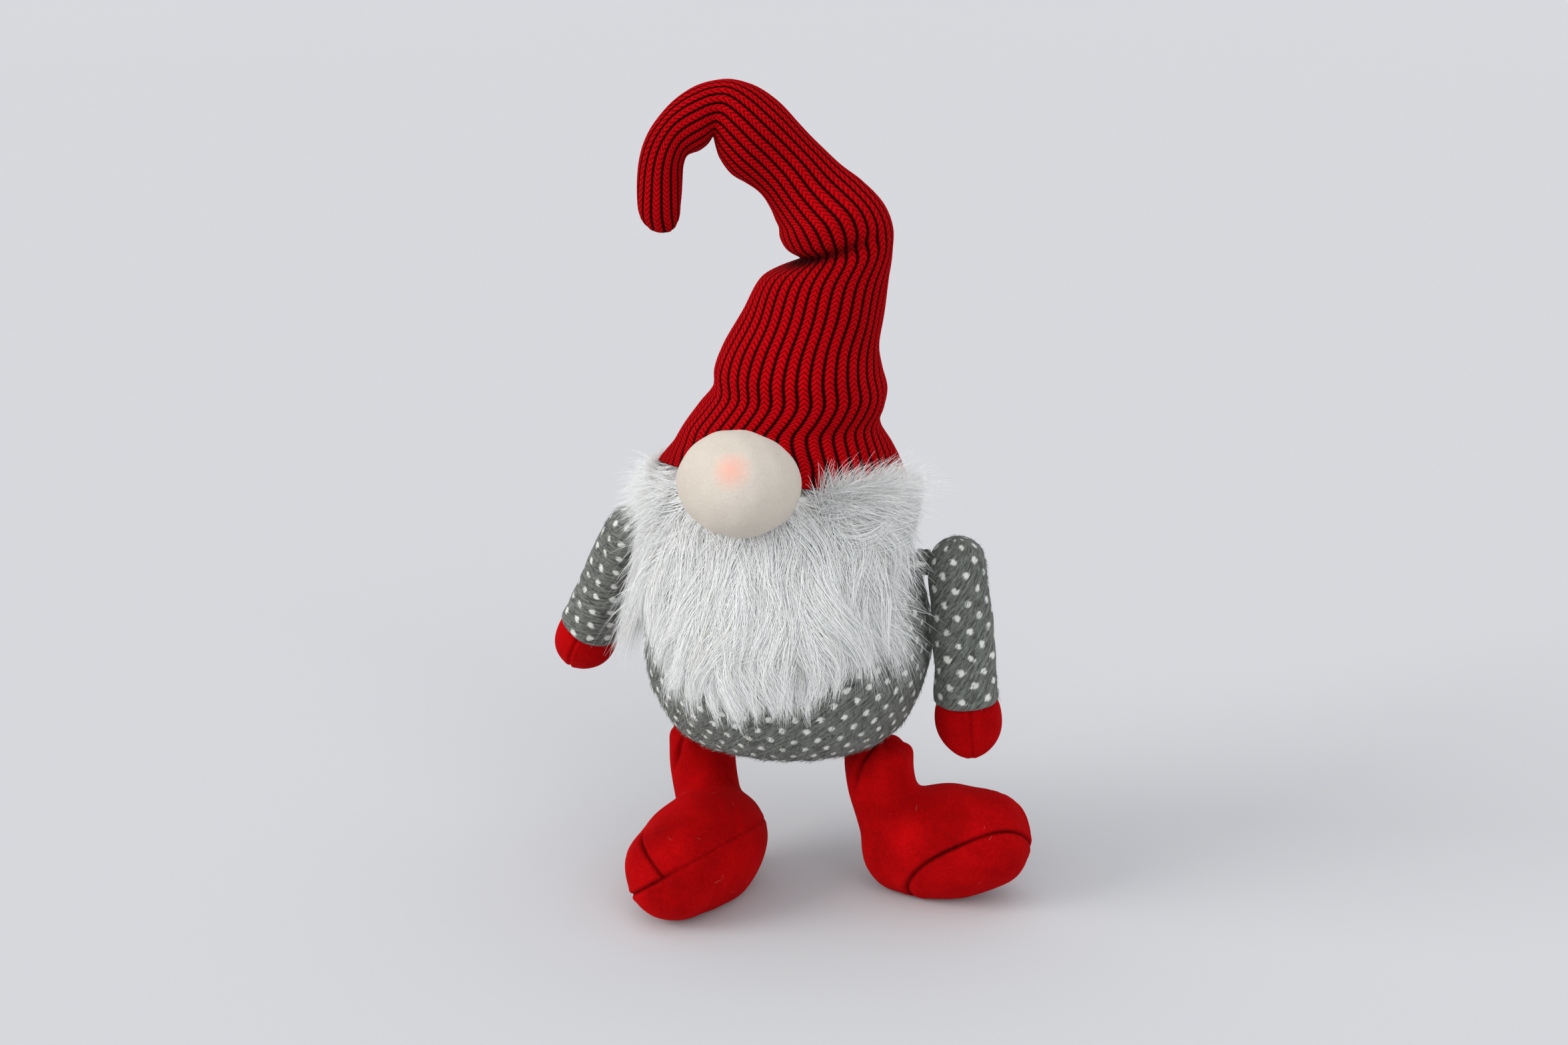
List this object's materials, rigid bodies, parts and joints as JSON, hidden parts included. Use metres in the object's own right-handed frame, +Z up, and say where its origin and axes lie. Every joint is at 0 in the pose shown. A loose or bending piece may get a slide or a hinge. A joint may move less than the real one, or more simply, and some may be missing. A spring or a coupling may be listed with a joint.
{
  "type": "plush gnome figurine",
  "caption": "Soft standing gnome with a tall folded knit hat, ball nose, long pile beard, jointed arms and stuffed boots.",
  "frame": {"origin": "middle of the box round the standing figure, on the floor under the boots", "axes": "+Z up through the hat, the face looks along -Y, the left hand is on +X"},
  "size_m": [0.3408, 0.229, 0.5264],
  "materials": {
    "grey_knit": "brushed marl knit with white printed dots",
    "cream_fleece": "short fleece",
    "fur_backing": "woven backing",
    "white_pile": "long soft pile",
    "red_knit": "chunky rib knit",
    "red_fleece": "short fleece",
    "wire": "soft annealed wire",
    "stuffing": "loose fibre fill",
    "bag_cloth": "plain weave",
    "pellets": "small pellets",
    "thread": "sewing thread"
  },
  "bodies": {
    "torso": {"torso_front_panel": "grey_knit", "torso_back_panel": "grey_knit", "base_panel": "grey_knit", "head_cover": "cream_fleece", "pellet_bag": "bag_cloth", "pellets": "pellets", "torso_filling": "stuffing", "beard_backing": "fur_backing", "beard_pile": "white_pile", "nose_cover": "cream_fleece", "nose_filling": "stuffing", "hat_lower_knit": "red_knit", "hat_lower_wire": "wire", "hat_lower_stuffing": "stuffing", "hip_tack_left": "thread", "hip_tack_right": "thread"},
    "hat_middle": {"hat_middle_knit": "red_knit", "hat_middle_wire": "wire", "hat_middle_stuffing": "stuffing"},
    "hat_crook": {"hat_crook_knit": "red_knit", "hat_crook_wire": "wire", "hat_crook_stuffing": "stuffing"},
    "hat_tip": {"hat_tip_knit": "red_knit", "hat_tip_wire": "wire", "hat_tip_stuffing": "stuffing"},
    "shoulder_left": {"shoulder_seam_left": "grey_knit"},
    "arm_left": {"sleeve_left": "grey_knit", "mitten_outer_left": "red_fleece", "mitten_inner_left": "red_fleece", "arm_filling_left": "stuffing"},
    "shoulder_right": {"shoulder_seam_right": "grey_knit"},
    "arm_right": {"sleeve_right": "grey_knit", "mitten_outer_right": "red_fleece", "mitten_inner_right": "red_fleece", "arm_filling_right": "stuffing"},
    "leg_left": {"boot_front_side_left": "red_fleece", "boot_back_side_left": "red_fleece", "boot_sole_left": "red_fleece", "leg_filling_left": "stuffing"},
    "leg_right": {"boot_front_side_right": "red_fleece", "boot_back_side_right": "red_fleece", "boot_sole_right": "red_fleece", "leg_filling_right": "stuffing"}
  },
  "joints": [
    {"name": "hat_fold", "type": "hinge", "parent": "torso", "child": "hat_middle", "pos_m": [0.07115, 0.04084, 0.4218], "axis": [-0.309, 0.9511, 0], "range_deg": [0, 40]},
    {"name": "hat_crown", "type": "hinge", "parent": "hat_middle", "child": "hat_crook", "pos_m": [-0.0268, 0.00902, 0.5285], "axis": [-0.309, 0.9511, 0], "range_deg": [0, 55]},
    {"name": "hat_tip_bend", "type": "hinge", "parent": "hat_crook", "child": "hat_tip", "pos_m": [-0.07816, -0.00767, 0.4795], "axis": [-0.309, 0.9511, 0], "range_deg": [0, 50]},
    {"name": "shoulder_swing_left", "type": "hinge", "parent": "torso", "child": "shoulder_left", "pos_m": [0.12039, 0.02245, 0.2275], "axis": [-1, 0, 0], "range_deg": [-40, 100]},
    {"name": "arm_lift_left", "type": "hinge", "parent": "shoulder_left", "child": "arm_left", "pos_m": [0.12039, 0.02245, 0.2275], "axis": [0, -1, 0], "range_deg": [0, 75]},
    {"name": "shoulder_swing_right", "type": "hinge", "parent": "torso", "child": "shoulder_right", "pos_m": [-0.10061, 0.02245, 0.229], "axis": [-1, 0, 0], "range_deg": [-20, 110]},
    {"name": "arm_lift_right", "type": "hinge", "parent": "shoulder_right", "child": "arm_right", "pos_m": [-0.10061, 0.02245, 0.229], "axis": [0, 1, 0], "range_deg": [-12, 55]},
    {"name": "hip_left", "type": "hinge", "parent": "torso", "child": "leg_left", "pos_m": [0.07139, 0.02345, 0.076], "axis": [-1, 0, 0], "range_deg": [-20, 70]},
    {"name": "hip_right", "type": "hinge", "parent": "torso", "child": "leg_right", "pos_m": [-0.05162, 0.02145, 0.076], "axis": [-1, 0, 0], "range_deg": [-15, 30]}
  ]
}
